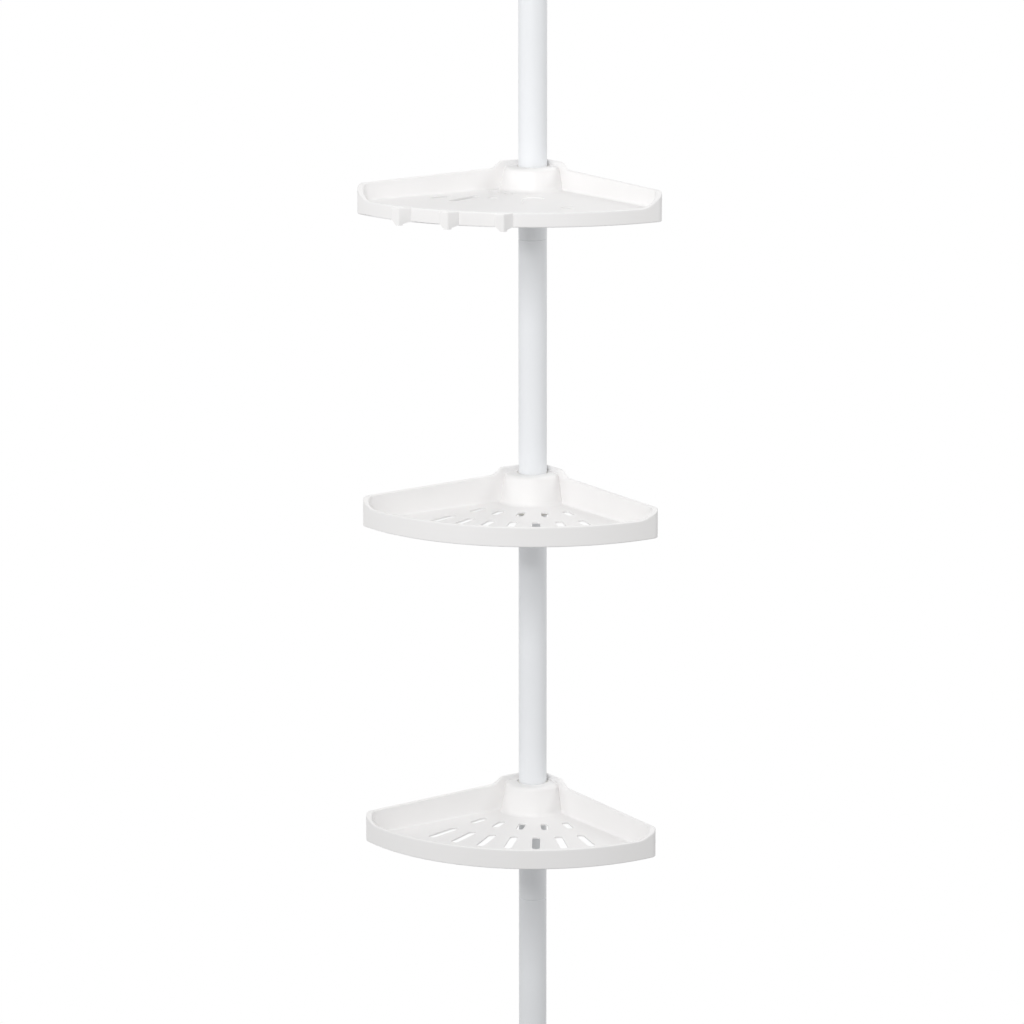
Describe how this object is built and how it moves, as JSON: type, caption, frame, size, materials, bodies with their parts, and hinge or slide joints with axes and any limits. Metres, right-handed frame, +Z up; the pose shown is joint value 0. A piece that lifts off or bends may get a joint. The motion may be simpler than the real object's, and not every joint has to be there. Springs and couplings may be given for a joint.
{
  "type": "tension pole shelf unit",
  "caption": "Sprung floor-to-ceiling pole with quarter-round corner trays that slide and swivel on it, the top one with hooks.",
  "frame": {"origin": "centre of the foot pad's underside, on the pole's axis", "axes": "+Z up along the pole; the trays' back walls lie along X and Y, so the room's corner is towards +X +Y"},
  "size_m": [0.2087, 0.2065, 2.3],
  "materials": {
    "coated_steel": "white powder coat, satin",
    "tray_plastic": "moulded polypropylene, fine matt texture",
    "white_plastic": "moulded, satin",
    "grey_plastic": "moulded acetal",
    "collet_plastic": "moulded, satin",
    "rubber": "soft white-grey rubber",
    "spring_steel": "bright wire"
  },
  "bodies": {
    "pole": {"floor_pad": "rubber", "floor_base": "white_plastic", "lower_tube": "coated_steel", "middle_tube": "coated_steel", "upper_tube": "coated_steel", "lock_body": "grey_plastic"},
    "lock_ring": {"lock_collar": "white_plastic"},
    "extension": {"extension_tube": "coated_steel", "extension_guide": "grey_plastic", "extension_cap": "white_plastic", "spring_seat": "grey_plastic", "tension_spring": "spring_steel", "retaining_pin": "spring_steel"},
    "spring_head": {"plunger": "white_plastic", "ceiling_cup": "white_plastic", "ceiling_pad": "rubber"},
    "lower_grip": {"lower_collet_front": "collet_plastic", "lower_collet_rear": "collet_plastic"},
    "lower_shelf": {"lower_tray": "tray_plastic"},
    "middle_grip": {"middle_collet_front": "collet_plastic", "middle_collet_rear": "collet_plastic"},
    "middle_shelf": {"middle_tray": "tray_plastic"},
    "hook_grip": {"hook_collet_front": "collet_plastic", "hook_collet_rear": "collet_plastic"},
    "hook_shelf": {"hook_tray": "tray_plastic"}
  },
  "joints": [
    {"name": "extension_slide", "type": "slide", "parent": "pole", "child": "extension", "axis": [0, 0, 1], "range_m": [-0.31, 0.12]},
    {"name": "lock_turn", "type": "hinge", "parent": "pole", "child": "lock_ring", "pos_m": [0, 0, 1.82], "axis": [0, 0, 1], "range_deg": [0, 90]},
    {"name": "head_spring", "type": "slide", "parent": "extension", "child": "spring_head", "axis": [0, 0, 1], "range_m": [-0.04, 0], "stiffness_N_per_m": 2500, "springref_m": 0.01, "deforming": ["tension_spring"]},
    {"name": "lower_height", "type": "slide", "parent": "pole", "child": "lower_grip", "axis": [0, 0, 1], "range_m": [-0.6, 0.11]},
    {"name": "lower_swivel", "type": "hinge", "parent": "lower_grip", "child": "lower_shelf", "pos_m": [0, 0, 0.699], "axis": [0, 0, 1], "continuous": true},
    {"name": "middle_height", "type": "slide", "parent": "pole", "child": "middle_grip", "axis": [0, 0, 1], "range_m": [-0.11, 0.11]},
    {"name": "middle_swivel", "type": "hinge", "parent": "middle_grip", "child": "middle_shelf", "pos_m": [0, 0, 0.9825], "axis": [0, 0, 1], "continuous": true},
    {"name": "hook_height", "type": "slide", "parent": "pole", "child": "hook_grip", "axis": [0, 0, 1], "range_m": [-0.11, 0.45]},
    {"name": "hook_swivel", "type": "hinge", "parent": "hook_grip", "child": "hook_shelf", "pos_m": [0, 0, 1.254], "axis": [0, 0, 1], "continuous": true}
  ]
}
